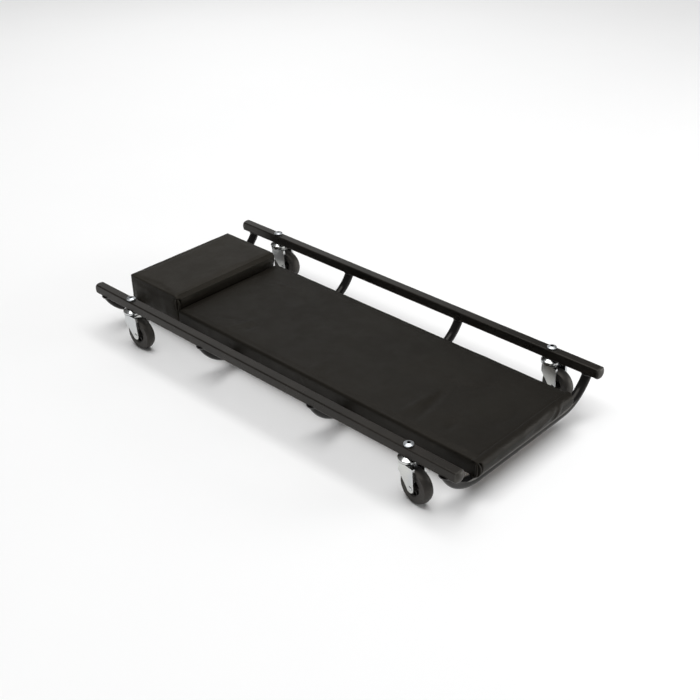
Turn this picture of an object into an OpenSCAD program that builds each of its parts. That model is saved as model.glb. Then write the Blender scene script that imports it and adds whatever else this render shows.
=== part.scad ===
// Mechanic's creeper: a padded board on four swivelling casters.
// X runs along the board from the head end (-X) to the foot end (+X).
// Y runs across it, with the left rail on +Y. The floor is z = 0.
// The origin is on the floor, midway between the rails and their ends.

/* [Rails] */
// Length of each side rail, without its end plugs
rail_len = 914; // [880:1:1000]
// Width and height of the square rail tube
rail_w = 19; // [18.5:0.5:20]
// Wall thickness of the rail tube
rail_wall = 1.5; // [1:0.1:2]
// Outer corner radius of the rail tube
rail_corner = 2.5; // [2:0.1:4]
// Distance between the centre lines of the two rails
rail_gap = 401; // [398:1:430]
// Height of the rail tops above the floor
rail_top = 98.5; // [97:0.5:101]

/* [Cross tubes] */
// Outer diameter of the round cross tubes
cross_d = 18; // [15:0.5:18]
// Wall thickness of the cross tubes
cross_wall = 1.5; // [1:0.1:2]
// Height of a cross tube's centre line under the pads
cross_z = 30.8; // [28:0.2:31]
// Radius of the bends that bring a cross tube up to the rails
bend_r = 89; // [80:1:92]
// Distance of the outer cross tubes from the middle
outer_cross_x = 434; // [430:1:440]
// Distance of the inner cross tubes from the middle
inner_cross_x = 144; // [120:1:170]

/* [Deck] */
// Head end of the deck
deck_head_x = -299; // [-299:1:-290]
// Foot end of the deck
deck_foot_x = 449; // [446:1:452]
// Width of the deck
deck_w = 272; // [260:1:272]
// Height of the deck's top above the floor
deck_top = 72.5; // [66:0.5:78]

/* [Headrest] */
// Head end of the headrest
headrest_head_x = -446; // [-450:1:-444]
// Foot end of the headrest
headrest_foot_x = -300.5; // [-304:0.5:-300.5]
// Width of the headrest
headrest_w = 264; // [250:1:272]
// Height of the headrest's top above the floor
headrest_top = 97; // [85:0.5:110]

/* [Upholstery] */
// Thickness of the plywood boards
board_t = 12; // [9:0.5:15]
// Thickness of the vinyl covers
vinyl_t = 1; // [0.8:0.1:1.5]
// Width of vinyl turned under each board
turn_under = 35; // [30:1:40]
// How far the foam wraps round the boards' edges
foam_wrap = 6; // [3:1:8]

/* [Casters] */
// Distance of the caster bolts from the middle
caster_x = 356.5; // [350:0.5:362]
// Wheel diameter over the tread
wheel_d = 64; // [58:0.5:64]
// Width of the tyre
tyre_w = 19; // [14:0.5:19]
// Height of the tread's crown at its middle
tread_crown = 2.8; // [1.5:0.1:4]
// How far the axle trails behind the swivel axis
trail = 22.5; // [20:0.5:24]
// Diameter of the dish in each side of the wheel
dish_d = 35; // [30:0.5:38]

/* [Caster positions] */
// Swivel of the head left caster
swivel_head_left = 3; // [-180:1:180]
// Swivel of the head right caster
swivel_head_right = 0; // [-180:1:180]
// Swivel of the foot left caster
swivel_foot_left = -9; // [-180:1:180]
// Swivel of the foot right caster
swivel_foot_right = -9; // [-180:1:180]

/* [Hidden] */
$fn = 64;
CORNERS = ["head_left", "head_right", "foot_left", "foot_right"];
CORNER_IDS = [0, 1, 2, 3];
SWIVELS = [swivel_head_left, swivel_head_right, swivel_foot_left, swivel_foot_right];
CROSS_NAMES = ["head", "upper", "lower", "foot"];
CROSS_X = [-outer_cross_x, -inner_cross_x, inner_cross_x, outer_cross_x];
SIDES = [-1, 1];

// Clearances: a running fit on radius, and the slack that makes a cut pass right through.
running_fit = 0.06;
slack = 1;

// Frame
rail_y = rail_gap / 2;
rail_bottom = rail_top - rail_w;
rail_mid = rail_top - rail_w / 2;
plug_depth = 16;
plug_dome = 7;
plug_dome_r = 18;
plug_gap = 0.2;
// A tube meets its rail 1 mm outside the rail's centre line.
joint_y = rail_y + 1;
bend_angle = acos((cross_z + bend_r - rail_bottom) / bend_r);
bend_y = joint_y - bend_r * sin(bend_angle);
bend_overrun = 8;
weld_r = 2.2;
weld_ring_r = cross_d / 2 + 0.8;

// The pads lie across the tubes, with their long edges on the start of the bends.
edge_run = deck_w / 2 - bend_y;
pad_clearance = 0.05;
pad_z = cross_z + bend_r - sqrt(pow(bend_r - cross_d / 2, 2) - pow(edge_run, 2)) + pad_clearance;
board_z = pad_z + vinyl_t;
foam_z = board_z + board_t;
pad_corner = 10;

// Screws and straps
screw_d = 4.2;
screw_hole_d = 4.6;
pilot_d = screw_d + 0.1;
screw_head_d = 9;
screw_head_h = 2.4;
screw_head_r = 5.6;
cross_slot_len = 4.8;
cross_slot_w = 1;
cross_slot_depth = 1.2;
screw_tip_z = foam_z - 2;
pad_screw_y = 90;
strap_len = 90;
strap_w = 24;
strap_t = 2.5;
strap_y = 80;
strap_x = (deck_head_x + headrest_foot_x) / 2;
STRAP_SCREWS = [-31, -17, 17, 31];

// Staples
staple_w = 10;
staple_wire = 0.7;
staple_leg = 8;
staple_inset = 17;
staple_pitch = 48;
deck_staple_start = 27;
deck_staple_count = 15;
headrest_staple_start = 34;
headrest_staple_count = 3;
tube_staple_gap = 16;
INNER_END_STAPLES = [-40, 0, 40];
OUTER_END_STAPLES = [-75, -38, 0, 38, 75];

// Caster bolt, nut and washer
bolt_d = 7.9;
bolt_hole_d = 8.6;
bolt_neck_d = 13.5;
bolt_neck_h = 1.6;
bolt_head_d = 17.5;
bolt_rim_h = 1.8;
bolt_dome_h = 2.4;
bolt_dome_r = (pow(bolt_head_d / 2, 2) + pow(bolt_dome_h, 2)) / (2 * bolt_dome_h);
socket_flats = 6;
socket_depth = 3.6;
nut_flats = 13;
nut_h = 6.3;
thread_gap = 0.05;
washer_d = 16;
washer_t = 1.2;
bolt_below_nut = 0.5;

// Swivel bearing: two races with a ring of balls between them
race_r = 17.8;
race_skirt_t = 2.2;
race_skirt_h = 7.3;
race_plate_t = 3.5;
race_flat_r = 10.5;
race_edge_r = 17;
race_edge_drop = 3.2;
race_rim_drop = 4.2;
ball_d = 4.5;
ball_ring_r = 12.2;
ball_count = 14;
ball_seat = 0.05;
ball_top_gap = 0.3;
lower_race_r = 14.8;
lower_race_h = 1.7;
bush_r = 6;
bush_bore_r = 4.15;

// Fork
crown_r = 17.2;
crown_t = 2;
crown_z = rail_bottom - 8.5;
crown_gap = 0.1;
leg_in = 12.7;
leg_t = 2.5;
leg_front = -7;
leg_back = 27;
leg_knee_z = 54;
leg_tip_r = 8.2;
leg_tip_overlap = 0.1;
lip_t = 2.5;
lip_depth = 2.2;
lip_end_z = 40;
axle_z = wheel_d / 2;
ball_z = crown_z + lower_race_h - 0.7 + ball_d / 2;
bearing_z = rail_bottom - race_plate_t;
washer_z = crown_z - crown_t - crown_gap - washer_t;

// Wheel and axle
tread_r = (pow(tyre_w / 2, 2) + pow(tread_crown, 2)) / (2 * tread_crown);
core_rim_t = 2.2;
core_rim_w = tyre_w - 2;
core_web_t = 6;
core_hub_r = 7.6;
core_hub_w = 24.6;
core_ribs = 6;
rib_t = 2;
rib_w = 12;
axle_bush_r = 5;
axle_d = 6;
axle_hole_r = axle_d / 2 + 0.05;
rivet_head_d = 9;
rivet_head_h = 2;
rivet_dome_r = 8;

// A closed outline with rounded corners, centred on the origin.
module rounded_rect(w, h, r) {
    square([w - 2 * r, h], center = true);
    square([w, h - 2 * r], center = true);
    for (sx = SIDES, sy = SIDES)
        translate([sx * (w / 2 - r), sy * (h / 2 - r)]) circle(r = r);
}

// Extrudes an outline along X. Its own x becomes Y, and its own y becomes Z.
module along_x(len) {
    rotate([90, 0, 90]) translate([0, 0, -len / 2]) linear_extrude(len) children();
}

// A flat slab between two X positions, with rounded corners seen from above.
module slab(x0, x1, w, z0, z1, r) {
    translate([(x0 + x1) / 2, 0, z0]) linear_extrude(z1 - z0) rounded_rect(x1 - x0, w, r);
}

// A low dome on a round edge, its base at z = 0.
module dome(d, h, r) {
    intersection() {
        cylinder(d = d, h = h);
        translate([0, 0, h - r]) sphere(r = r, $fn = 96);
    }
}

// A round plate between two heights.
module disc(r, z0, z1) {
    translate([0, 0, z0]) cylinder(r = r, h = z1 - z0);
}

// ---- Rails ----

module side_rail(side) {
    color([0.12, 0.12, 0.12])
    translate([0, side * rail_y, rail_mid])
    difference() {
        along_x(rail_len) rounded_rect(rail_w, rail_w, rail_corner);
        along_x(rail_len + slack)
            rounded_rect(rail_w - 2 * rail_wall, rail_w - 2 * rail_wall, rail_corner - rail_wall);
        for (end = SIDES)
            translate([end * caster_x, 0, 0])
                cylinder(d = bolt_hole_d, h = rail_w + slack, center = true);
    }
}

// A moulded plug: a shank that pushes into the tube and a domed face as wide as the rail.
module end_plug(corner) {
    end = end_of(corner);
    shank_w = rail_w - 2 * rail_wall - 2 * plug_gap;
    color([0.16, 0.16, 0.17])
    translate([end * rail_len / 2, side_of(corner) * rail_y, rail_mid])
    rotate([0, 0, end > 0 ? 0 : 180]) {
        translate([-plug_depth / 2, 0, 0]) along_x(plug_depth) rounded_rect(shank_w, shank_w, 1);
        intersection() {
            translate([plug_dome / 2, 0, 0])
                along_x(plug_dome) rounded_rect(rail_w, rail_w, rail_corner);
            translate([plug_dome - plug_dome_r, 0, 0]) sphere(r = plug_dome_r, $fn = 96);
        }
    }
}

// ---- Cross tubes ----

// A round bar on a cross tube's centre line: straight under the pads, bent up at both ends.
module bent_bar(d) {
    translate([0, 0, cross_z]) rotate([90, 0, 0]) cylinder(d = d, h = 2 * bend_y, center = true);
    for (side = SIDES)
        rotate([0, 0, side > 0 ? 0 : 180])
            translate([0, bend_y, cross_z + bend_r])
                rotate([0, 90, 0])
                    rotate_extrude(angle = bend_angle + bend_overrun, $fn = 128)
                        translate([bend_r, 0]) circle(d = d, $fn = 48);
}

// Everything above the rails' underside.
module above_joint() {
    translate([-rail_w, -rail_gap, rail_bottom]) cube([2 * rail_w, 2 * rail_gap, rail_w * 2]);
}

module cross_tube(x) {
    color([0.05, 0.05, 0.05])
    translate([x, 0, 0])
    difference() {
        bent_bar(cross_d);
        bent_bar(cross_d - 2 * cross_wall);
        above_joint();
        for (side = SIDES)
            translate([0, side * pad_screw_y, 0]) cylinder(d = screw_hole_d, h = cross_z * 2);
    }
}

module weld_beads() {
    color([0.1, 0.1, 0.1])
    for (x = CROSS_X, side = SIDES)
        translate([x, 0, 0])
        difference() {
            translate([0, side * joint_y, rail_bottom])
                rotate_extrude() translate([weld_ring_r, 0]) circle(r = weld_r, $fn = 24);
            above_joint();
            bent_bar(cross_d);
        }
}

// ---- Pads ----

// Holes for every screw that comes up from below into the boards.
module screw_holes(d) {
    for (x = CROSS_X, side = SIDES)
        translate([x, side * pad_screw_y, 0]) cylinder(d = d, h = screw_tip_z);
    for (dx = STRAP_SCREWS, side = SIDES)
        translate([strap_x + dx, side * strap_y, 0]) cylinder(d = d, h = screw_tip_z);
}

// The slab that is left when a pad's outline shrinks by inset all round.
module inner_slab(x0, x1, w, inset, z0, z1) {
    slab(x0 + inset, x1 - inset, w - 2 * inset, z0, z1, max(pad_corner - inset, 2));
}

module board(x0, x1, w) {
    difference() {
        inner_slab(x0, x1, w, vinyl_t + foam_wrap, board_z, foam_z);
        screw_holes(pilot_d);
    }
}

// Foam that covers a board and wraps round its edges.
module foam(x0, x1, w, top) {
    difference() {
        inner_slab(x0, x1, w, vinyl_t, board_z, top - vinyl_t);
        inner_slab(x0, x1, w, vinyl_t + foam_wrap, board_z - slack, foam_z);
    }
}

// A vinyl skin over the top and sides, turned under the board all round.
module cover(x0, x1, w, top) {
    difference() {
        slab(x0, x1, w, pad_z, top, pad_corner);
        inner_slab(x0, x1, w, vinyl_t, board_z, top - vinyl_t);
        inner_slab(x0, x1, w, turn_under, pad_z - slack, board_z + slack / 2);
        screw_holes(screw_hole_d);
    }
}

module deck_board() {
    color([0.72, 0.55, 0.35]) board(deck_head_x, deck_foot_x, deck_w);
}

module deck_foam() {
    color([0.85, 0.82, 0.6]) foam(deck_head_x, deck_foot_x, deck_w, deck_top);
}

module deck_cover() {
    color([0.1, 0.1, 0.1]) cover(deck_head_x, deck_foot_x, deck_w, deck_top);
}

module headrest_board() {
    color([0.72, 0.55, 0.35]) board(headrest_head_x, headrest_foot_x, headrest_w);
}

module headrest_foam() {
    color([0.85, 0.82, 0.6]) foam(headrest_head_x, headrest_foot_x, headrest_w, headrest_top);
}

module headrest_cover() {
    color([0.13, 0.13, 0.13]) cover(headrest_head_x, headrest_foot_x, headrest_w, headrest_top);
}

// One staple, its crown along X under the turned vinyl and its legs up in the board.
module staple() {
    translate([-staple_w / 2, -staple_wire / 2, pad_z - staple_wire])
        cube([staple_w, staple_wire, staple_wire]);
    for (side = SIDES)
        translate([side * (staple_w - staple_wire) / 2 - staple_wire / 2, -staple_wire / 2,
            pad_z - staple_wire])
            cube([staple_wire, staple_wire, staple_leg]);
}

// Staples along both long edges of a pad, starting at first_x.
module edge_staples(w, first_x, count) {
    for (i = [0:count - 1], side = SIDES)
        translate([first_x + i * staple_pitch, side * (w / 2 - staple_inset), 0]) staple();
}

// Staples across an end of a pad.
module end_staples(x, places) {
    for (y = places) translate([x, y, 0]) rotate([0, 0, 90]) staple();
}

module deck_staples() {
    color("silver") {
        edge_staples(deck_w, deck_head_x + deck_staple_start, deck_staple_count);
        end_staples(deck_head_x + staple_inset, INNER_END_STAPLES);
        end_staples(outer_cross_x - tube_staple_gap, OUTER_END_STAPLES);
    }
}

module headrest_staples() {
    color("silver") {
        edge_staples(headrest_w, headrest_head_x + headrest_staple_start, headrest_staple_count);
        end_staples(headrest_foot_x - staple_inset, INNER_END_STAPLES);
        end_staples(-outer_cross_x + tube_staple_gap, OUTER_END_STAPLES);
    }
}

// ---- Straps and screws ----

// Flat steel strips that tie the headrest board to the deck board.
module joining_straps() {
    color([0.6, 0.6, 0.6])
    difference() {
        for (side = SIDES)
            translate([strap_x, side * strap_y, pad_z - strap_t])
                linear_extrude(strap_t) rounded_rect(strap_len, strap_w, 4);
        screw_holes(screw_hole_d);
    }
}

// A pan-head screw pointing up, with the top of its head at head_z.
module wood_screw(head_z) {
    translate([0, 0, head_z]) cylinder(d = screw_d, h = screw_tip_z - head_z);
    translate([0, 0, head_z])
        mirror([0, 0, 1])
            difference() {
                dome(screw_head_d, screw_head_h, screw_head_r);
                translate([-cross_slot_len / 2, -cross_slot_w / 2, screw_head_h - cross_slot_depth])
                    cube([cross_slot_len, cross_slot_w, cross_slot_depth + slack]);
                translate([-cross_slot_w / 2, -cross_slot_len / 2, screw_head_h - cross_slot_depth])
                    cube([cross_slot_w, cross_slot_len, cross_slot_depth + slack]);
            }
}

module strap_screws() {
    color("silver")
    for (dx = STRAP_SCREWS, side = SIDES)
        translate([strap_x + dx, side * strap_y, 0]) wood_screw(pad_z - strap_t);
}

module pad_screws() {
    color("silver")
    for (x = CROSS_X, side = SIDES)
        translate([x, side * pad_screw_y, 0]) wood_screw(cross_z - cross_d / 2);
}

// ---- Casters ----

function end_of(corner) = corner < 2 ? -1 : 1;
function side_of(corner) = corner % 2 == 0 ? 1 : -1;

// Puts children on a caster's swivel axis, where its trail runs along +X before it swivels.
module at_caster(corner) {
    translate([end_of(corner) * caster_x, side_of(corner) * rail_y, 0])
        rotate([0, 0, SWIVELS[corner]]) children();
}

// Puts children on a caster's axle, with the axle along their own Z.
module at_axle(corner) {
    at_caster(corner) translate([trail, 0, axle_z]) rotate([90, 0, 0]) children();
}

// A low domed head with a hexagonal socket. It stands on a narrower neck.
module bolt_head() {
    rim_z = bolt_neck_h + bolt_rim_h;
    difference() {
        union() {
            disc(bolt_neck_d / 2, 0, bolt_neck_h + slack / 2);
            disc(bolt_head_d / 2, bolt_neck_h, rim_z);
            translate([0, 0, rim_z]) dome(bolt_head_d, bolt_dome_h, bolt_dome_r);
        }
        translate([0, 0, rim_z + bolt_dome_h - socket_depth])
            cylinder(d = socket_flats / cos(30), h = socket_depth + slack, $fn = 6);
    }
}

module caster_bolts() {
    color([0.85, 0.86, 0.88])
    for (corner = CORNER_IDS)
        at_caster(corner) {
            translate([0, 0, washer_z - nut_h - bolt_below_nut])
                cylinder(d = bolt_d, h = rail_top - washer_z + nut_h + bolt_below_nut);
            translate([0, 0, rail_top]) bolt_head();
        }
}

module caster_nuts() {
    color([0.8, 0.8, 0.82])
    for (corner = CORNER_IDS)
        at_caster(corner)
            translate([0, 0, washer_z - nut_h])
                difference() {
                    cylinder(d = nut_flats / cos(30), h = nut_h, $fn = 6);
                    translate([0, 0, -slack]) cylinder(d = bolt_d + 2 * thread_gap, h = nut_h + 2 * slack);
                }
}

module swivel_washers() {
    color([0.8, 0.8, 0.82])
    for (corner = CORNER_IDS)
        at_caster(corner)
            translate([0, 0, washer_z])
                difference() {
                    cylinder(d = washer_d, h = washer_t);
                    translate([0, 0, -slack]) cylinder(r = bush_bore_r, h = washer_t + 2 * slack);
                }
}

// Steel tubes that the bolts clamp, so that the forks stay free to turn round them.
module swivel_bushes() {
    bush_z = washer_z + washer_t;
    color([0.7, 0.7, 0.72])
    for (corner = CORNER_IDS)
        at_caster(corner)
            translate([0, 0, bush_z])
                difference() {
                    cylinder(r = bush_r, h = bearing_z - bush_z);
                    translate([0, 0, -slack])
                        cylinder(r = bush_bore_r, h = bearing_z - bush_z + 2 * slack);
                }
}

// The fixed cup under the rail: a plate with a ball groove, a sloping shoulder, and a skirt
// that hides the balls.
module upper_race(corner) {
    color([0.83, 0.84, 0.86])
    at_caster(corner)
        rotate_extrude()
            difference() {
                translate([0, rail_bottom])
                    polygon([[bolt_hole_d / 2, 0], [race_flat_r, 0], [race_edge_r, -race_edge_drop],
                        [race_r, -race_rim_drop], [race_r, -race_skirt_h],
                        [bolt_hole_d / 2, -race_skirt_h]]);
                translate([0, rail_bottom - race_skirt_h - slack])
                    square([race_r - race_skirt_t, race_skirt_h - race_plate_t + slack]);
                translate([ball_ring_r, ball_z]) circle(r = ball_d / 2 + ball_top_gap);
            }
}

module swivel_balls(corner) {
    color("silver")
    at_caster(corner)
        for (i = [0:ball_count - 1])
            rotate([0, 0, i * 360 / ball_count])
                translate([ball_ring_r, 0, ball_z]) sphere(d = ball_d, $fn = 24);
}

// The point where a line from p touches a circle. turn picks one of the two tangents.
function tangent_point(p, c, r, turn) =
    let (a = atan2(p.y - c.y, p.x - c.x) + turn * acos(r / norm(p - c)))
    [c.x + r * cos(a), c.y + r * sin(a)];

AXLE = [trail, axle_z];
KNEE = [leg_front, leg_knee_z];
LEG_TOP = [leg_back, crown_z];
FRONT_TANGENT = tangent_point(KNEE, AXLE, leg_tip_r - leg_tip_overlap, 1);
BACK_TANGENT = tangent_point(LEG_TOP, AXLE, leg_tip_r - leg_tip_overlap, -1);

// Side view of a leg: upright at the front, tapering to a round end about the axle.
module leg_outline() {
    difference() {
        union() {
            polygon([[leg_front, crown_z], KNEE, FRONT_TANGENT, AXLE, BACK_TANGENT, LEG_TOP]);
            translate(AXLE) circle(r = leg_tip_r);
        }
        translate(AXLE) circle(r = axle_hole_r);
    }
}

// Side view of the lip folded inwards along a leg's rear edge.
module lip_outline() {
    slope = (BACK_TANGENT.x - LEG_TOP.x) / (LEG_TOP.y - BACK_TANGENT.y);
    end_x = LEG_TOP.x + slope * (LEG_TOP.y - lip_end_z);
    polygon([LEG_TOP, [LEG_TOP.x - lip_t, LEG_TOP.y], [end_x - lip_t, lip_end_z], [end_x, lip_end_z]]);
}

module fork(corner) {
    color([0.86, 0.87, 0.89])
    at_caster(corner)
    difference() {
        union() {
            disc(crown_r, crown_z - crown_t, crown_z);
            disc(lower_race_r, crown_z - slack / 2, crown_z + lower_race_h);
            translate([leg_front, -leg_in - slack / 2, crown_z - crown_t])
                cube([crown_r - leg_front, 2 * leg_in + slack, crown_t]);
            for (side = SIDES) {
                translate([0, side * (leg_in + leg_t / 2) + leg_t / 2, 0])
                    rotate([90, 0, 0]) linear_extrude(leg_t) leg_outline();
                translate([0, side * (leg_in - lip_depth / 2) + lip_depth / 2, 0])
                    rotate([90, 0, 0]) linear_extrude(lip_depth) lip_outline();
            }
        }
        disc(bush_r + running_fit, crown_z - crown_t - slack, crown_z + lower_race_h + slack);
        rotate_extrude() translate([ball_ring_r, ball_z]) circle(r = ball_d / 2 + ball_seat);
    }
}

module axle_bush(corner) {
    color([0.7, 0.7, 0.72])
    at_axle(corner)
        difference() {
            cylinder(r = axle_bush_r, h = 2 * leg_in, center = true);
            cylinder(r = axle_hole_r, h = 2 * leg_in + slack, center = true);
        }
}

module axle_rivet(corner) {
    color([0.8, 0.81, 0.83])
    at_axle(corner) {
        cylinder(d = axle_d, h = 2 * (leg_in + leg_t), center = true);
        for (side = SIDES)
            rotate([side > 0 ? 0 : 180, 0, 0])
                translate([0, 0, leg_in + leg_t]) dome(rivet_head_d, rivet_head_h, rivet_dome_r);
    }
}

module wheel_core(corner) {
    color([0.09, 0.09, 0.09])
    at_axle(corner)
        difference() {
            union() {
                rotate_extrude()
                    translate([dish_d / 2 - core_rim_t, -core_rim_w / 2]) square([core_rim_t, core_rim_w]);
                cylinder(d = dish_d - core_rim_t, h = core_web_t, center = true);
                cylinder(r = core_hub_r, h = core_hub_w, center = true);
                for (i = [0:core_ribs - 1])
                    rotate([0, 0, i * 360 / core_ribs])
                        translate([0, -rib_t / 2, -rib_w / 2])
                            cube([dish_d / 2 - core_rim_t / 2, rib_t, rib_w]);
            }
            cylinder(r = axle_bush_r + running_fit, h = core_hub_w + slack, center = true);
        }
}

module tyre(corner) {
    color([0.15, 0.15, 0.15])
    at_axle(corner)
        rotate_extrude($fn = 96)
            intersection() {
                translate([wheel_d / 2 - tread_r, 0]) circle(r = tread_r, $fn = 96);
                translate([dish_d / 2, -tyre_w / 2]) square([wheel_d, tyre_w]);
            }
}

side_rail(1);  // left_rail
side_rail(-1);  // right_rail
for (i = CORNER_IDS) end_plug(i);
for (i = [0:3]) cross_tube(CROSS_X[i]);
weld_beads();
deck_board();
deck_foam();
deck_cover();
deck_staples();
headrest_board();
headrest_foam();
headrest_cover();
headrest_staples();
joining_straps();
strap_screws();
pad_screws();
caster_bolts();
caster_nuts();
swivel_bushes();
swivel_washers();
for (i = CORNER_IDS) upper_race(i);
for (i = CORNER_IDS) fork(i);
for (i = CORNER_IDS) swivel_balls(i);
for (i = CORNER_IDS) axle_bush(i);
for (i = CORNER_IDS) axle_rivet(i);
for (i = CORNER_IDS) wheel_core(i);
for (i = CORNER_IDS) tyre(i);
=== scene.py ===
"""The looks of a mechanic's creeper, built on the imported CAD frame. Sizes are in metres."""
import math

import bmesh
import bpy
import numpy as np
from mathutils import Matrix, Vector, noise


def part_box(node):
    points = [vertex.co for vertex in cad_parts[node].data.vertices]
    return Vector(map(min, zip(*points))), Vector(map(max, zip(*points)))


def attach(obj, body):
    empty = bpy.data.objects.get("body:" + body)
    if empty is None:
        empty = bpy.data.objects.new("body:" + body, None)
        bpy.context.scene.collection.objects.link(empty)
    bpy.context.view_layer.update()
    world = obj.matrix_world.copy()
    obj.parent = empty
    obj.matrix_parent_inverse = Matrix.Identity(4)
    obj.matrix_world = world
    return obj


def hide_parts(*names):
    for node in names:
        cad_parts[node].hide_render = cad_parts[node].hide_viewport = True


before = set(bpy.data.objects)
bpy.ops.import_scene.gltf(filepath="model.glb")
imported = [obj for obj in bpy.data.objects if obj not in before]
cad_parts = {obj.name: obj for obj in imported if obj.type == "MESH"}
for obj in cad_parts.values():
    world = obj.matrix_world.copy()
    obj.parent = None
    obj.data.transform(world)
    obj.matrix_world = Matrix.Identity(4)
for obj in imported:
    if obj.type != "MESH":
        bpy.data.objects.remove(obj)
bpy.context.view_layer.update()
MM = 0.001
CORNERS = ("head_left", "head_right", "foot_left", "foot_right")  # one caster and one plug at each


# ---- Camera ----

def make_camera(azimuth, elevation, roll, place, lens):
    """A camera at place that looks back along azimuth and elevation, rolled about its own axis.
    Angles are in degrees and lens in millimetres."""
    az, el, turn = (math.radians(a) for a in (azimuth, elevation, roll))
    back = Vector((math.sin(az) * math.cos(el), -math.cos(az) * math.cos(el), math.sin(el)))
    level = Vector((math.cos(az), math.sin(az), 0))
    over = back.cross(level)
    right = math.cos(turn) * level + math.sin(turn) * over
    up = back.cross(right)
    camera = bpy.data.objects.new("camera", bpy.data.cameras.new("camera"))
    bpy.context.scene.collection.objects.link(camera)
    camera.data.lens = lens
    camera.data.sensor_width = 36
    camera.data.clip_end = 50
    turned = Matrix((right, up, back)).transposed().to_4x4()
    camera.matrix_world = Matrix.Translation(place) @ turned
    bpy.context.scene.camera = camera


make_camera(azimuth=43.08, elevation=31.36, roll=-0.40, place=(1.2703, -1.3127, 1.1516), lens=57.41)


# ---- Materials ----

def set_range(node, low, high, to_low, to_high):
    """Sets a Map Range node to take low..high to to_low..to_high."""
    ends = {"From Min": low, "From Max": high, "To Min": to_low, "To Max": to_high}
    for socket, number in ends.items():
        node.inputs[socket].default_value = number


class Shader:
    """A Principled material and short calls for the nodes that feed it. colour and roughness are its
    average, which the nodes then vary. All patterns follow the object's own coordinates."""

    def __init__(self, name, colour, roughness, **sockets):
        self.material = bpy.data.materials.new(name)
        self.material.use_nodes = True
        self.nodes = self.material.node_tree.nodes
        self.links = self.material.node_tree.links
        self.surface = self.nodes["Principled BSDF"]
        self.surface.inputs["Base Color"].default_value = (*colour, 1)
        self.surface.inputs["Roughness"].default_value = roughness
        for socket, value in sockets.items():
            self.surface.inputs[socket.replace("_", " ")].default_value = value
        self.place = self.nodes.new("ShaderNodeTexCoord").outputs["Object"]

    def stretched(self, x, y, z):
        """Object coordinates, scaled along each axis."""
        node = self.nodes.new("ShaderNodeMapping")
        node.inputs["Scale"].default_value = (x, y, z)
        self.links.new(self.place, node.inputs["Vector"])
        return node.outputs["Vector"]

    def noise(self, scale, detail=3, place=None, distortion=0):
        """A cloudy pattern with scale lumps to the metre."""
        node = self.nodes.new("ShaderNodeTexNoise")
        node.inputs["Scale"].default_value = scale
        node.inputs["Detail"].default_value = detail
        node.inputs["Distortion"].default_value = distortion
        self.links.new(place or self.place, node.inputs["Vector"])
        return node.outputs["Fac"]

    def cells(self, scale):
        """A pattern of irregular cells, 0 on their edges."""
        node = self.nodes.new("ShaderNodeTexVoronoi")
        node.feature = "DISTANCE_TO_EDGE"
        node.inputs["Scale"].default_value = scale
        self.links.new(self.place, node.inputs["Vector"])
        return node.outputs["Distance"]

    def fit(self, value, low, high, to_low=0.0, to_high=1.0):
        """value, mapped smoothly from low..high to to_low..to_high."""
        node = self.nodes.new("ShaderNodeMapRange")
        node.interpolation_type = "SMOOTHSTEP"
        set_range(node, low, high, to_low, to_high)
        self.links.new(value, node.inputs["Value"])
        return node.outputs["Result"]

    def math(self, operation, a, b):
        """a and b, each a number or another node's output, put through a Math node."""
        node = self.nodes.new("ShaderNodeMath")
        node.operation = operation
        for socket, value in zip(node.inputs, (a, b)):
            if isinstance(value, (int, float)):
                socket.default_value = value
            else:
                self.links.new(value, socket)
        return node.outputs["Value"]

    def blend(self, amount, first, second):
        """A colour between first and second."""
        node = self.nodes.new("ShaderNodeMix")
        node.data_type = "RGBA"
        self.links.new(amount, node.inputs["Factor"])
        for socket, colour in (("A", first), ("B", second)):
            target = next(s for s in node.inputs if s.name == socket and s.type == "RGBA")
            if isinstance(colour, tuple):
                target.default_value = (*colour, 1)
            else:
                self.links.new(colour, target)
        return next(s for s in node.outputs if s.type == "RGBA")

    def out_from_middle(self, axis):
        """How far each point is from the creeper's middle, along one axis."""
        part = self.nodes.new("ShaderNodeSeparateXYZ")
        self.links.new(self.place, part.inputs["Vector"])
        return self.math("ABSOLUTE", part.outputs[axis], 0)

    def from_uprights(self, x, y):
        """How far each point is from the nearest of four upright lines at (+-x, +-y)."""
        squares = []
        for axis, middle in (("X", x), ("Y", y)):
            away = self.math("SUBTRACT", self.out_from_middle(axis), middle)
            squares.append(self.math("MULTIPLY", away, away))
        return self.math("SQRT", self.math("ADD", *squares), 0)

    def colour(self, value):
        self.links.new(value, self.surface.inputs["Base Color"])

    def mottle(self, pattern, dark, light):
        """Lets the colour drift between dark and light with a pattern."""
        self.colour(self.blend(self.fit(pattern, 0.35, 0.7), dark, light))

    def uneven(self, pattern, low, high):
        """Lets the roughness drift between low and high with a pattern."""
        self.links.new(self.fit(pattern, 0.3, 0.7, low, high), self.surface.inputs["Roughness"])

    def bump(self, height, depth):
        """Adds a bump whose height runs from 0 to depth metres, on top of any earlier one."""
        node = self.nodes.new("ShaderNodeBump")
        node.inputs["Strength"].default_value = 1
        node.inputs["Distance"].default_value = depth
        self.links.new(height, node.inputs["Height"])
        normal = self.surface.inputs["Normal"]
        if normal.is_linked:
            self.links.new(normal.links[0].from_socket, node.inputs["Normal"])
        self.links.new(node.outputs["Normal"], normal)


WARM = (1, 0.93, 0.84, 1)  # reflection tint of the plastic and rubber
BOLT_PLACE = (0.3565, 0.2005)  # the caster bolts stand at (+-x, +-y)


def powder_coat():
    """Satin black paint, baked on, with a faint orange peel."""
    s = Shader("powder_coat", (0.012, 0.0105, 0.009), 0.3,
               Specular_IOR_Level=0.25, Specular_Tint=(1, 0.94, 0.86, 1))
    s.mottle(s.noise(18), (0.009, 0.0078, 0.0065), (0.014, 0.012, 0.010))
    s.uneven(s.noise(60, 4), 0.27, 0.33)
    s.bump(s.noise(1300, 2), 0.00001)
    return s.material


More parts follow.
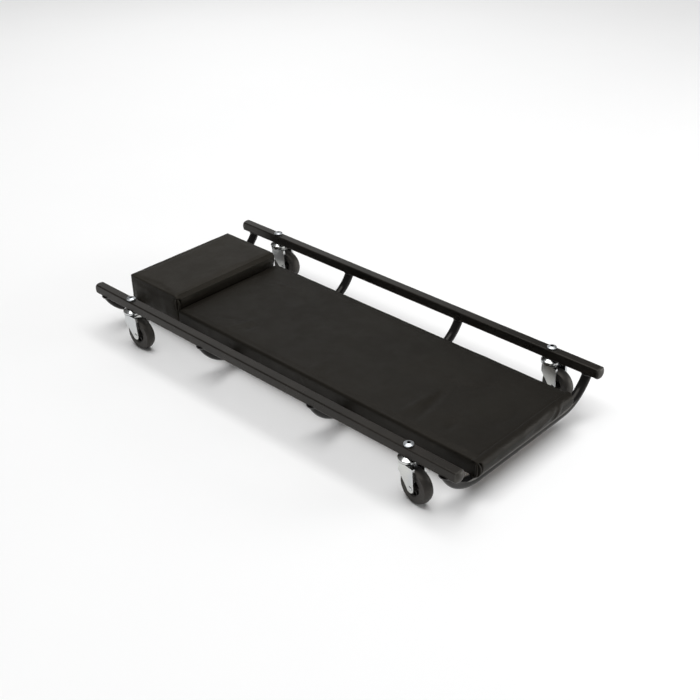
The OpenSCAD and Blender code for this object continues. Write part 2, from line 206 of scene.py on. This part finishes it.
def gloss_enamel():
    """Glossy black paint with slow ripples."""
    s = Shader("gloss_enamel", (0.008, 0.0075, 0.007), 0.14,
               Specular_IOR_Level=0.17, Specular_Tint=(1, 0.95, 0.87, 1))
    s.mottle(s.noise(22), (0.006, 0.006, 0.006), (0.011, 0.0105, 0.0105))
    s.uneven(s.noise(45, 4), 0.09, 0.17)
    s.bump(s.noise(420, 1), 0.00005)
    return s.material


def weld_metal():
    """Lumpy weld under thin black paint."""
    s = Shader("weld_metal", (0.03, 0.029, 0.028), 0.35, Specular_IOR_Level=0.8)
    s.mottle(s.noise(300), (0.02, 0.019, 0.018), (0.045, 0.043, 0.041))
    s.uneven(s.noise(500), 0.28, 0.45)
    s.bump(s.noise(700, 2), 0.0004)
    return s.material


def plug_plastic():
    """Moulded black plastic with a fine matt texture."""
    s = Shader("plug_plastic", (0.026, 0.025, 0.023), 0.5,
               Specular_IOR_Level=0.4, Specular_Tint=WARM)
    s.mottle(s.noise(120), (0.021, 0.02, 0.018), (0.031, 0.029, 0.026))
    s.uneven(s.noise(300, 4), 0.42, 0.58)
    s.bump(s.noise(1600, 2), 0.00006)
    return s.material


def vinyl(name, dark, light, shine, pull=0.0):
    """Upholstery vinyl with a fine leather grain. pull is the depth of faint lines of tension
    along Y, in metres."""
    s = Shader(name, dark, 0.45, Specular_IOR_Level=shine, Specular_Tint=(1, 0.93, 0.82, 1))
    s.mottle(s.noise(9, 4), dark, light)
    s.uneven(s.noise(35, 4), 0.45, 0.53)
    if pull:
        s.bump(s.noise(1, 2, s.stretched(170, 6, 60)), pull)
    s.bump(s.fit(s.cells(850), 0.0, 0.3), 0.00007)
    s.bump(s.noise(2600, 2), 0.00003)
    return s.material


def zinc_plate():
    """Bright pressed sheet, with the fine lines that rolling and plating leave."""
    s = Shader("zinc_plate", (0.6, 0.61, 0.6), 0.28, Metallic=1)
    brushed = s.noise(1, 4, s.stretched(500, 500, 30))
    s.mottle(s.noise(35, 5), (0.56, 0.575, 0.58), (0.64, 0.645, 0.62))
    s.uneven(brushed, 0.15, 0.22)
    s.bump(brushed, 0.000008)
    return s.material


def bright_steel():
    """Plain plated steel for screws, nuts, bushes and staples."""
    s = Shader("bright_steel", (0.62, 0.63, 0.63), 0.26, Metallic=1)
    s.mottle(s.noise(90, 4), (0.57, 0.585, 0.59), (0.67, 0.675, 0.66))
    s.uneven(s.noise(260, 5), 0.2, 0.32)
    s.bump(s.noise(1500, 3), 0.00003)
    return s.material


def bolt_steel():
    """Plated steel, with painted shade: near black inside the four bolts' sockets."""
    s = Shader("bolt_steel", (0.48, 0.5, 0.52), 0.35, Metallic=1)
    s.uneven(s.noise(260, 5), 0.3, 0.42)
    s.bump(s.noise(1500, 3), 0.00002)
    away = s.from_uprights(*BOLT_PLACE)
    plate = s.blend(s.fit(s.noise(120, 4), 0.35, 0.7), (0.44, 0.46, 0.48), (0.52, 0.54, 0.55))
    # painted shade: the colour goes near black within about 3.1 mm of each bolt's axis, where the
    # socket's recess lies in shade
    painted_socket_shade = s.fit(away, 3.1 * MM, 3.7 * MM)
    s.colour(s.blend(painted_socket_shade, (0.012, 0.011, 0.01), plate))
    return s.material


def tyre_rubber():
    """Hard matt black rubber with a trace of dust."""
    s = Shader("tyre_rubber", (0.017, 0.016, 0.015), 0.55, Specular_Tint=WARM)
    s.mottle(s.noise(70, 5), (0.014, 0.013, 0.012), (0.019, 0.018, 0.017))
    s.uneven(s.noise(200, 4), 0.5, 0.6)
    s.bump(s.noise(1200, 3), 0.00008)
    return s.material


def core_plastic():
    """Moulded black plastic, smoother than the plugs'."""
    s = Shader("core_plastic", (0.018, 0.017, 0.016), 0.4, Specular_Tint=WARM)
    s.mottle(s.noise(110), (0.015, 0.0142, 0.0135), (0.021, 0.02, 0.019))
    s.uneven(s.noise(260, 4), 0.34, 0.5)
    s.bump(s.noise(1400, 2), 0.00005)
    return s.material


def plywood():
    """Bare plywood with its grain along X."""
    s = Shader("plywood", (0.5, 0.36, 0.2), 0.65)
    rings = s.noise(1, 5, s.stretched(6, 60, 60), 1.5)
    s.colour(s.blend(s.fit(rings, 0.35, 0.65), (0.36, 0.24, 0.13), (0.58, 0.43, 0.26)))
    s.uneven(s.noise(200, 4), 0.55, 0.75)
    s.bump(s.noise(1, 4, s.stretched(40, 900, 900)), 0.0002)
    return s.material


def foam():
    """Open-cell upholstery foam."""
    s = Shader("foam", (0.6, 0.52, 0.3), 0.9)
    s.colour(s.blend(s.fit(s.cells(700), 0.0, 0.3), (0.4, 0.34, 0.18), (0.66, 0.58, 0.36)))
    s.uneven(s.noise(200), 0.85, 0.95)
    s.bump(s.cells(700), 0.0004)
    return s.material


def paint(material, *nodes):
    """Gives CAD nodes a material."""
    for node in nodes:
        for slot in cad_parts[node].material_slots:
            slot.material = material


def paint_each(material, *parts):
    """Gives the four casters' copies of each part a material."""
    paint(material, *(f"{part}_{corner}" for part in parts for corner in CORNERS))


STEEL = bright_steel()
ZINC = zinc_plate()
DECK_VINYL = vinyl("deck_vinyl", (0.0050, 0.0041, 0.0028), (0.0072, 0.0061, 0.0043), 0.175)
HEADREST_VINYL = vinyl("headrest_vinyl", (0.0135, 0.0117, 0.0089), (0.0168, 0.0147, 0.0113), 0.15,
                       0.3 * MM)

paint(powder_coat(), "left_rail", "right_rail")
paint(weld_metal(), "weld_beads")
paint(gloss_enamel(), *(f"cross_tube_{part}" for part in ("head", "upper", "lower", "foot")))
paint(plywood(), "deck_board", "headrest_board")
paint(foam(), "deck_foam", "headrest_foam")
paint(STEEL, "deck_staples", "headrest_staples", "strap_screws", "pad_screws")
paint(bolt_steel(), "caster_bolts")
paint(STEEL, "caster_nuts", "swivel_bushes", "swivel_washers")
paint(ZINC, "joining_straps")
paint_each(plug_plastic(), "end_plug")
paint_each(ZINC, "upper_race", "fork")
paint_each(STEEL, "swivel_balls", "axle_bush", "axle_rivet")
paint_each(core_plastic(), "wheel_core")
paint_each(tyre_rubber(), "tyre")


# ---- Mesh helpers ----

def build(name, points, faces):
    """A new piece made of points and faces."""
    mesh = bpy.data.meshes.new(name)
    mesh.from_pydata([tuple(p) for p in points], [], faces)
    mesh.validate()
    piece = bpy.data.objects.new(name, mesh)
    bpy.context.scene.collection.objects.link(piece)
    return piece


def baked(piece):
    """A copy of the piece's mesh with its modifiers applied."""
    graph = bpy.context.evaluated_depsgraph_get()
    return bpy.data.meshes.new_from_object(piece.evaluated_get(graph))


def bake(piece):
    """Applies the piece's modifiers."""
    mesh = baked(piece)
    piece.modifiers.clear()
    piece.data = mesh


def subdivide(piece):
    """Rounds a piece with one subdivision."""
    finer = piece.modifiers.new("finer", "SUBSURF")
    finer.levels = finer.render_levels = 1
    bake(piece)


def thicken(piece, thickness):
    """Gives a sheet thickness on its back and rounds it."""
    solid = piece.modifiers.new("thickness", "SOLIDIFY")
    solid.thickness = thickness
    solid.offset = -1
    subdivide(piece)


def join(main, others):
    """Merges other pieces into main, as separate shells of one mesh."""
    work = bmesh.new()
    for piece in (main, *others):
        work.from_mesh(piece.data)
    work.to_mesh(main.data)
    work.free()
    for piece in others:
        bpy.data.objects.remove(piece)
    main.data.shade_smooth()


def ticks(low, high, low_radius, high_radius, step):
    """Places for grid lines along one axis: close together on the round edges, even between."""
    rounds = 4  # lines on each rounded edge
    start = [low + low_radius * i / rounds for i in range(rounds)]
    end = [high - high_radius * i / rounds for i in range(rounds)]
    inner_low, inner_high = low + low_radius, high - high_radius
    count = max(1, round((inner_high - inner_low) / step))
    middle = [inner_low + (inner_high - inner_low) * i / count for i in range(count + 1)]
    return start + middle + end[::-1]


def round_block(name, low, high, low_radii, high_radii, step):
    """A block's surface as a grid of quads about step wide, rounded by its own radius at each of
    its low and high sides."""
    lines = [ticks(*side, step) for side in zip(low, high, low_radii, high_radii)]
    index, points, faces = {}, [], []

    def place(cell):
        """The number of the point where three grid lines cross, made once."""
        if cell not in index:
            index[cell] = len(points)
            points.append([lines[a][cell[a]] for a in range(3)])
        return index[cell]

    for axis in range(3):
        u, v = (axis + 1) % 3, (axis + 2) % 3
        for level in (0, len(lines[axis]) - 1):
            for i in range(len(lines[u]) - 1):
                for j in range(len(lines[v]) - 1):
                    square = []
                    for di, dj in ((0, 0), (1, 0), (1, 1), (0, 1)):
                        cell = [0, 0, 0]
                        cell[axis], cell[u], cell[v] = level, i + di, j + dj
                        square.append(place(tuple(cell)))
                    faces.append(square if level else square[::-1])
    # Pull every point onto the rounding: its own radius away from the nearest point of a core.
    flat = np.array(points)
    inner_low = np.array(low) + low_radii
    inner_high = np.array(high) - high_radii
    inner = np.clip(flat, inner_low, inner_high)
    radii = np.where(flat < inner, low_radii, high_radii)
    offset = (flat - inner) / radii
    length = np.maximum(np.linalg.norm(offset, axis=1, keepdims=True), 1e-9)
    return build(name, inner + offset / length * radii, faces)


def places(mesh):
    """A mesh's vertex places as an array."""
    flat = np.empty(len(mesh.vertices) * 3, np.float32)
    mesh.vertices.foreach_get("co", flat)
    return flat.reshape(-1, 3).astype(float)


def normals(mesh):
    """A mesh's vertex normals as an array."""
    flat = np.empty(len(mesh.vertices) * 3, np.float32)
    mesh.vertex_normals.foreach_get("vector", flat)
    return flat.reshape(-1, 3).astype(float)


def put(mesh, points):
    """Moves a mesh's vertices to points."""
    mesh.vertices.foreach_set("co", points.astype(np.float32).ravel())
    mesh.update()


def ramp(value, low, high):
    """0 at low, 1 at high, smooth between. low may be the larger."""
    t = np.clip((value - low) / (high - low), 0, 1)
    return t * t * (3 - 2 * t)


# ---- Upholstery ----

PRESSURE = 4.0  # of the stuffing on the cover
SIM_FRAMES = 20


def inflate(piece, floor, cap):
    """Lets the vinyl swell like a stuffed cover, by less than cap, with its underside held still."""
    start = places(piece.data)
    held = piece.vertex_groups.new(name="held")
    held.add([int(i) for i in np.flatnonzero(start[:, 2] < floor + 4 * MM)], 1.0, "REPLACE")
    cloth = piece.modifiers.new("cloth", "CLOTH")
    cloth.settings.use_pressure = True
    cloth.settings.uniform_pressure_force = PRESSURE
    cloth.settings.effector_weights.gravity = 0
    cloth.settings.vertex_group_mass = "held"
    cloth.settings.quality = 4
    scene = bpy.context.scene
    for step in range(1, SIM_FRAMES + 1):
        scene.frame_set(step)
    move = places(baked(piece)) - start
    piece.modifiers.clear()
    out = normals(piece.data)
    swell = np.maximum((move * out).sum(axis=1, keepdims=True), 0)
    put(piece.data, start + out * cap * np.tanh(swell / cap))
    scene.frame_set(1)


def crease(points, start, end, width, depth):
    """How far a crease from start to end lifts each point: outward, or inward where depth is
    negative. Its ends fade out. The crease's own measures are in millimetres."""
    start, end = np.array(start) * MM, np.array(end) * MM
    run = end - start
    along = np.clip(((points - start) @ run) / (run @ run), 0, 1)
    away = np.linalg.norm(points - start - along[:, None] * run, axis=1)
    fade = np.sin(np.pi * (0.08 + 0.84 * along)) ** 0.7
    return depth * MM * fade * np.exp(-((away / (width * MM)) ** 2))


FOAM_WAVE = 0.35 * MM  # how uneven the foam leaves the vinyl


def wrinkle(piece, creases):
    """Presses creases into a pad, and the slow unevenness that foam leaves under vinyl."""
    points, out = places(piece.data), normals(piece.data)
    lift = sum(crease(points, *line) for line in creases)
    other = Vector((7, 3, 1))  # so that the finer waves don't follow the broad ones
    lift += FOAM_WAVE * np.array([noise.noise(Vector(p) * 22) for p in points])
    lift += FOAM_WAVE * 0.4 * np.array([noise.noise(Vector(p) * 60 + other) for p in points])
    put(piece.data, points + out * lift[:, None])


def pull_in(piece, low, high, foot_depth, side_depth):
    """Draws the foot end and the long sides in at the waist, most between the corners."""
    points = places(piece.data)
    waist = low.z + 0.35 * (high.z - low.z)
    reach = ramp(points[:, 2], high.z - 8 * MM, waist) * (1 - 0.7 * ramp(points[:, 2], waist, low.z))
    place = (points - (low + high) / 2) / ((high - low) / 2)
    for axis, other, depth in ((0, 1, foot_depth * (place[:, 0] > 0)), (1, 0, side_depth)):
        side = ramp(np.abs(place[:, axis]), 0.7, 1)
        middle = 0.55 + 0.45 * (1 - place[:, other] ** 4)
        points[:, axis] -= np.sign(place[:, axis]) * side * depth * reach * middle
    put(piece.data, points)


def open_underside(piece, low, high, margin, thickness):
    """Cuts the middle out of the underside and turns the vinyl's cut edge up to the board."""
    work = bmesh.new()
    work.from_mesh(piece.data)
    inside = []
    for face in work.faces:
        c = face.calc_center_median()
        within = all(low[a] + margin < c[a] < high[a] - margin for a in range(2))
        if within and c.z < low.z + 0.5 * MM:
            inside.append(face)
    bmesh.ops.delete(work, geom=inside, context="FACES")
    rim = [e for e in work.edges if e.is_boundary]
    raised = bmesh.ops.extrude_edge_only(work, edges=rim)["geom"]
    for v in (g for g in raised if isinstance(g, bmesh.types.BMVert)):
        v.co.z += thickness
    bmesh.ops.recalc_face_normals(work, faces=work.faces)
    work.to_mesh(piece.data)
    work.free()


def sheet_grid(name, rows, thickness=0.0009):
    """A sheet through rows of points, given thickness."""
    count = len(rows[0])
    faces = []
    for r in range(len(rows) - 1):
        for c in range(count - 1):
            a = r * count + c
            faces.append((a, a + 1, a + count + 1, a + count))
    sheet = build(name, [p for row in rows for p in row], faces)
    thicken(sheet, thickness)
    return sheet


def smooth_line(points, count):
    """count points on a smooth curve through points (Catmull-Rom)."""
    knots = [points[0], *points, points[-1]]
    line = []
    for i in range(count):
        t = i / (count - 1) * (len(points) - 1)
        k = min(int(t), len(points) - 2)
        f = t - k
        a, b, c, d = (np.array(knots[k + j], float) for j in range(4))
        line.append(0.5 * (2 * b + (c - a) * f + (2 * a - 5 * b + 4 * c - d) * f ** 2
                           + (3 * b - a - 3 * c + d) * f ** 3))
    return line


def dimple(pad, corner, top, bottom):
    """Pushes a pad in under the loop of spare vinyl at its right foot corner."""
    points = places(pad.data)
    away = np.linalg.norm(points[:, :2] - corner, axis=1)
    z = points[:, 2]
    between = ramp(z, bottom - 4 * MM, bottom + 2 * MM) * ramp(z, top + 1 * MM, top - 4 * MM)
    push = 7 * MM * ramp(away, 10 * MM, 0) * between
    points[:, 0] -= push
    points[:, 1] += push
    put(pad.data, points)


LOOP_PLAN = [
    # a vinyl loop as seen from above, in mm from the pad's corner: along the long side, round
    # the first edge, into the hollow, round the wider second edge and on to the foot end
    (-7.5, 1.0), (-5.2, -1.2), (-3.2, -2.2), (-1.7, -1.0), (-2.6, 2.4), (-0.9, 4.2),
    (0.7, 2.4), (2.6, 0.3), (4.4, 1.8), (3.4, 4.6), (-0.5, 7.5),
]


def corner_loop(corner, top, bottom, back=lambda z: 0, mirrored=False):
    """A loop of spare vinyl at a right foot corner: both its edges stand out, with a hollow between.
    The wider edge is on the foot end, or on the long side if mirrored. back says how far behind
    the corner the pad's foot end is at a height."""
    plan = LOOP_PLAN
    if mirrored:
        plan = [(-y, -x) for x, y in reversed(plan)]
    rows = []
    for i in range(17):
        t = i / 16
        z = top + (bottom - top) * t
        swell = math.sin(math.pi * (0.06 + 0.88 * t)) ** 0.7 * MM
        line = smooth_line(plan, 33)
        rows.append([(corner[0] - back(z) + x * swell, corner[1] + y * swell, z) for x, y in line])
    return sheet_grid("corner_loop", rows, 0.7 * MM)


# ---- Deck ----

NOSE = 18 * MM  # how far the foot end's rounding runs back from its tip
NOSE_HEIGHT = 1.04  # height of the rounding's full oval, in pad heights
NOSE_POWER = 2.5  # 2 would make it a plain oval


def nose_reach(rise):
    """How far the rounding stands out at a height from -1 to 1, as a share of NOSE."""
    return (1 - np.abs(rise) ** NOSE_POWER) ** (1 / NOSE_POWER)


def nose_oval(low, high):
    """The height of the rounding's middle, and half its full height."""
    return (low.z + high.z) / 2, (high.z - low.z) / 2 * NOSE_HEIGHT


def nose(pad, low, high):
    """Rounds the foot end like a rolled edge. It is a little flatter at the right corner."""
    points = places(pad.data)
    middle, half = nose_oval(low, high)
    start = high.x - NOSE
    past = np.maximum(points[:, 0] - start, 0)
    rise = np.clip((points[:, 2] - middle) / half, -1, 1)
    swell = 1 + 0.12 * ramp(points[:, 1], low.y, low.y + 30 * MM)
    points[:, 0] = np.where(past > 0, start + past * swell * nose_reach(rise), points[:, 0])
    put(pad.data, points)


FOOT_FOLDS = [
    # start, end, width and depth in mm, all in the plane across the foot end
    ((0, 12, 58), (0, 80, 71), 3.5, -1.3),
    ((0, 22, 53), (0, 84, 66), 3.5, 1.3),
    ((0, 66, 50), (0, 92, 73), 3.5, -1.6),
    ((0, 74, 48), (0, 99, 71), 3.5, 1.7),
    ((0, 90, 46), (0, 110, 68), 3.5, -1.3),
    ((0, 58, 50), (0, 84, 60), 4, -0.8),
    ((0, -26, 68), (0, -5, 62), 6, 0.9),
    ((0, -96, 50), (0, -70, 68), 9, -0.6),
]


def foot_roll(low, high):
    """The vinyl rolled over the foot end, with pleats towards the left corner. It starts and ends
    inside the pad and stands proud between."""
    middle, half = nose_oval(low, high)
    start = high.x - NOSE
    rises = np.sin(np.linspace(1, -1, 23) * math.asin(1 / NOSE_HEIGHT))
    profile = [(start + 1 * MM, high.z), (start + 6 * MM, high.z)]
    profile += [(start + NOSE * nose_reach(rise), middle + half * rise) for rise in rises]
    profile += [(start - 2 * MM, low.z)]
    stations, last = 90, len(profile) - 1
    rows = []
    for i in range(stations + 1):
        y = low.y - 0.6 * MM + (high.y - low.y + 1.2 * MM) * i / stations
        tight = 1 - 0.7 * ramp(y, high.y - 40 * MM, high.y)  # drawn in at the left corner
        row = []
        for j, (x, z) in enumerate(profile):
            swell = math.sin(math.pi * j / last)
            stand = (-0.9 + 3.6 * tight * swell ** 0.6) * MM
            out = Vector((max(x - start, 0), 0, (z - middle) * 0.8)).normalized()
            row.append(Vector((x, y, z)) + out * stand)
        rows.append(row)
    points = np.array(rows)
    front = (points * (0, 1, 1)).reshape(-1, 3)  # flattened onto the folds' plane
    lift = sum(crease(front, *line) for line in FOOT_FOLDS)
    points[:, :, 0] += lift.reshape(points.shape[:2])
    return sheet_grid("foot_roll", points)


DECK_CREASES = [
    # start, end, width and depth in mm
    ((-310, -136, 72), (470, -136, 72), 2.5, -0.9),
    ((-310, 136, 72), (470, 136, 72), 2.5, -0.9),
    ((-245, 68, 72.5), (-176, 79, 72.5), 3.5, 0.9),
    ((-219, -103, 72.5), (-161, -76, 72.5), 3.5, -0.9),
    ((-166, -113, 72.5), (-150, -65, 72.5), 9, 2.0),
    ((-136, -98, 72.5), (-136, -70, 72.5), 8, -1.8),
    ((55, -114, 72.5), (59, -81, 72.5), 9, 1.1),
    ((75, -116, 72.5), (80, -90, 72.5), 9, -0.9),
    ((267, -112, 72.5), (269, -30, 72.5), 8, 2.6),
    ((295, -104, 72.5), (279, -12, 72.5), 8, -2.4),
    ((353, -95, 72.5), (350, -66, 72.5), 8, -1.6),
    ((258, 20, 72.5), (312, 31, 72.5), 9, -0.8),
    ((312, 31, 72.5), (332, 74, 72.5), 9, -0.7),
    ((-288, 100, 72.5), (-262, 40, 72.5), 9, -0.9),
    ((400, -60, 72.5), (415, 50, 72.5), 12, -0.8),
    ((-90, 108, 72.5), (-40, 112, 72.5), 12, -0.6),
    ((170, 104, 72.5), (215, 110, 72.5), 12, -0.5),
    ((385, -134, 66), (443, -134, 68), 6, -1.2),
    ((444, -136, 47), (445, -136, 71), 3, 2.4),
    ((-144, -136, 44), (-144, -136, 62), 7, -0.8),
    ((144, -136, 44), (144, -136, 62), 7, -0.8),
    ((-144, 136, 44), (-144, 136, 62), 7, -1.2),
    ((144, 136, 44), (144, 136, 62), 7, -1.2),
    ((-60, -136, 46), (-52, -136, 66), 5, 0.7),
    ((60, -136, 46), (50, -136, 66), 5, 0.6),
    ((232, -136, 46), (246, -136, 68), 6, 0.7),
    ((330, -136, 46), (344, -136, 68), 6, 0.8),
    ((-210, -136, 46), (-200, -136, 66), 6, 0.7),
    ((-90, 136, 46), (-80, 136, 66), 6, 0.7),
    ((40, 136, 46), (28, 136, 66), 6, 0.7),
    ((250, 136, 46), (262, 136, 68), 6, 0.7),
    ((380, 136, 46), (390, 136, 66), 6, 0.8),
]


def make_deck():
    """The long pad between the headrest and the foot end."""
    low, high = (Vector(p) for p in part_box("deck_cover"))
    side, tip, under, over = 5 * MM, 1.5 * MM, 2.5 * MM, 6 * MM  # radii of the rounded edges
    pad = round_block("deck_pad", low + Vector((2.0, 0, 0)) * MM, high - Vector((0, 0, 1)) * MM,
                      (side, side, under), (tip, side, over), 5 * MM)
    inflate(pad, low.z, 1.6 * MM)
    pull_in(pad, low, high, 0, 1 * MM)
    open_underside(pad, low, high, 35 * MM, 1 * MM)
    nose(pad, low, high)
    subdivide(pad)
    wrinkle(pad, DECK_CREASES)
    join(pad, [foot_roll(low, high)])
    middle, half = nose_oval(low, high)
    loop = ((high.x + 1.2 * MM, low.y - 0.5 * MM), high.z - 2 * MM, low.z + 1 * MM)
    dimple(pad, *loop)

    def back(z):
        """How far behind its tip the foot end is at a height."""
        return NOSE * (1 - nose_reach((z - middle) / half))

    join(pad, [corner_loop(*loop, back, mirrored=True)])
    cover(pad, "deck", DECK_VINYL)


# ---- Headrest ----

HEADREST_CREASES = [
    # start, end, width and depth in mm
    ((-433, -132, 50), (-421, -132, 64), 6, 1.8),
    ((-440, -132, 48), (-437, -132, 80), 5, -1.0),
    ((-407, -132, 44), (-398, -132, 82), 9, -0.8),
    ((-385, -132, 50), (-376, -132, 70), 9, 0.8),
    ((-362, -132, 44), (-350, -132, 84), 9, -0.8),
    ((-338, -132, 46), (-334, -132, 70), 7, 0.9),
    ((-405, 132, 44), (-395, 132, 80), 9, -1.0),
    ((-370, 132, 44), (-362, 132, 82), 9, 0.9),
    ((-335, 132, 44), (-330, 132, 80), 8, -0.9),
    ((-442, -90, 46), (-446, -80, 84), 9, -1.4),
    ((-442, -30, 46), (-446, -38, 80), 9, 1.3),
    ((-442, 25, 46), (-446, 35, 84), 9, -1.4),
    ((-442, 85, 46), (-446, 78, 80), 9, 1.2),
    ((-372, -120, 97), (-368, 110, 97), 26, -1.0),
    ((-410, -90, 97), (-404, 100, 97), 12, -0.6),
    ((-330, -112, 97), (-326, 60, 97), 9, 0.5),
]


def foot_face(pad, high, deck_top):
    """Drops the top edge of the headrest's foot side and rounds that side out above the deck."""
    points = places(pad.data)
    face = ramp(points[:, 0], high.x - 12 * MM, high.x - 4 * MM)
    up = np.clip((points[:, 2] - deck_top) / (high.z - deck_top), 0, 1)
    points[:, 0] += face * 3.2 * MM * np.sin(np.pi * (0.2 + 0.8 * up))
    top_edge = ramp(points[:, 0], high.x - 5 * MM, high.x) * ramp(up, 0.7, 1)
    points[:, 2] -= 2.5 * MM * top_edge
    put(pad.data, points)


def welt(pad, place, start, end, radius):
    """A piped edge along Y: a thin round cord of vinyl that hugs the pad near place = (x, z)."""
    rings, around = 120, 12
    points, faces = [], []
    for i in range(rings + 1):
        t = i / rings
        y = start + (end - start) * t
        drift = 0.4 * MM * noise.noise(Vector((y * 14, place[0] * 50, 0)))
        spot, normal = pad.closest_point_on_mesh((place[0] + drift, y, place[1]))[1:3]
        centre = spot + normal * radius * 0.25
        taper = math.sin(math.pi * min(min(t, 1 - t) * 12, 0.5))
        size = radius * (0.3 + 0.7 * taper) * (1 + 0.08 * noise.noise(Vector((y * 60, 0, 0))))
        for j in range(around):
            a = 2 * math.pi * j / around
            points.append(centre + Vector((size * math.cos(a), 0, size * math.sin(a))))
    for i in range(rings):
        for j in range(around):
            a, b = i * around + j, i * around + (j + 1) % around
            faces.append((a, b, b + around, a + around))
    faces.append(tuple(range(around)))
    faces.append(tuple(rings * around + j for j in reversed(range(around))))
    return build("welt", points, faces)


def corner_flap(low, high):
    """The foot face's vinyl, folded round the right corner and laid on the side. It narrows
    towards its top."""
    rows = []
    for i in range(17):
        t = i / 16
        z = low.z + 1 * MM + t * (high.z - low.z - 6 * MM)
        reach = (19.5 - 2.5 * t) * (1 - max(0, t - 0.62) / 0.38 * 0.8) * MM
        row = []
        for j in range(12):
            u = j / 11
            x = high.x - 1 * MM - u * reach
            stand = 0.9 + 0.7 * math.sin(math.pi * min(1, u * 1.05)) * (0.4 + 0.6 * (1 - t))
            row.append((x, low.y + 0.2 * MM - stand * MM * (0.25 + 0.75 * u), z))
        rows.append(row)
    return sheet_grid("corner_flap", rows, 0.8 * MM)


def make_headrest():
    """The raised pad, with a piped edge towards the deck."""
    low, high = (Vector(p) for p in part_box("headrest_cover"))
    deck_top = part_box("deck_cover")[1].z
    side, under, over = 2.5 * MM, 1.5 * MM, 3 * MM  # radii of the rounded edges
    pad = round_block("headrest_pad", low - Vector((0.6, 1.6, 0)) * MM,
                      high + Vector((0.3, 0.6, 0.6)) * MM,
                      (side, side, under), (side, side, over), 4.5 * MM)
    inflate(pad, low.z, 1.8 * MM)
    pull_in(pad, low, high, 5 * MM, 1 * MM)
    foot_face(pad, high, deck_top)
    open_underside(pad, low, high, 35 * MM, 1 * MM)
    subdivide(pad)
    loop = ((high.x + 1.8 * MM, low.y - 2.0 * MM), high.z - 5 * MM, high.z - 30 * MM)
    dimple(pad, *loop)
    wrinkle(pad, HEADREST_CREASES)
    trims = [corner_flap(low, high), corner_loop(*loop)]
    for back, down, radius in ((4.0, 0.0, 0.9), (-2.5, 7.0, 1.1)):  # on the top, and below its edge
        place = (high.x - back * MM, high.z - down * MM)
        trims.append(welt(pad, place, low.y + 2 * MM, high.y - 2 * MM, radius * MM))
    join(pad, trims)
    cover(pad, "headrest", HEADREST_VINYL)


def cover(pad, part, material):
    """Finishes a pad: it stands for the CAD vinyl and foam, and rides on the frame."""
    pad.data.materials.clear()
    pad.data.materials.append(material)
    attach(pad, "frame")
    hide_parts(f"{part}_cover", f"{part}_foam")


make_deck()
make_headrest()


# ---- Floor and light ----

def make_floor():
    """A pale floor that carries the casters."""
    bpy.ops.mesh.primitive_plane_add(size=40, location=(0, 0, 0))
    floor = bpy.context.object
    floor.name = "floor"
    s = Shader("floor", (0.93, 0.93, 0.93), 0.8)
    s.colour(s.blend(s.noise(3), (0.92, 0.92, 0.92), (0.94, 0.94, 0.94)))
    floor.data.materials.append(s.material)


def make_light(name, place, size, watts):
    """A square soft light aimed at the middle of the floor."""
    light = bpy.data.objects.new(name, bpy.data.lights.new(name, "AREA"))
    bpy.context.scene.collection.objects.link(light)
    light.data.size = size
    light.data.energy = watts
    light.location = place
    light.rotation_euler = (-Vector(place)).to_track_quat("-Z", "Y").to_euler()


def make_world(horizon, overhead):
    """Pale walls all round, of brightness horizon, that darken to overhead at the ceiling."""
    world = bpy.data.worlds.new("studio")
    bpy.context.scene.world = world
    world.use_nodes = True
    nodes, links = world.node_tree.nodes, world.node_tree.links
    direction = nodes.new("ShaderNodeTexCoord").outputs["Generated"]
    height = nodes.new("ShaderNodeSeparateXYZ")
    links.new(direction, height.inputs["Vector"])
    fall = nodes.new("ShaderNodeMapRange")
    fall.interpolation_type = "SMOOTHSTEP"
    set_range(fall, 0.05, 0.65, horizon, overhead)
    links.new(height.outputs["Z"], fall.inputs["Value"])
    nodes["Background"].inputs["Color"].default_value = (1, 1, 1, 1)
    links.new(fall.outputs["Result"], nodes["Background"].inputs["Strength"])


make_floor()
make_light("overhead", place=(0.0, 0.0, 6.0), size=6.0, watts=390)
make_light("head_side", place=(-1.9, 1.6, 1.5), size=1.8, watts=6.5)
make_light("foot_side", place=(2.2, 1.8, 0.5), size=1.4, watts=35)
make_world(horizon=0.3, overhead=0.15)
bpy.context.scene.view_settings.view_transform = "Standard"
